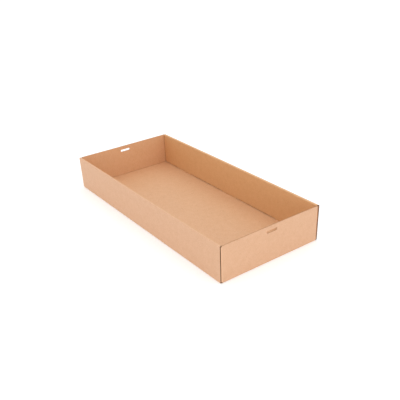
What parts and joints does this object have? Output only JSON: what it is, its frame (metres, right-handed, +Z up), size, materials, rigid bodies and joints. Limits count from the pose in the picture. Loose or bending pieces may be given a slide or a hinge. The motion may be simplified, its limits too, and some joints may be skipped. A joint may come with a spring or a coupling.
{
  "type": "corrugated cardboard tray box",
  "caption": "Long, shallow open tray folded from corrugated board, with rolled-over long walls locked by tabs and a slot in each end wall.",
  "frame": {"origin": "middle of the tray's underside, on the surface that it stands on", "axes": "+X along the tray's length, towards one end wall; +Y across it, towards one long wall; +Z up"},
  "size_m": [0.558, 0.2568, 0.08],
  "materials": {
    "kraft_board": "plain brown kraft liner on single-wall corrugated board, matt, with raw cut edges"
  },
  "bodies": {
    "root": {"tray": "kraft_board"}
  },
  "joints": []
}
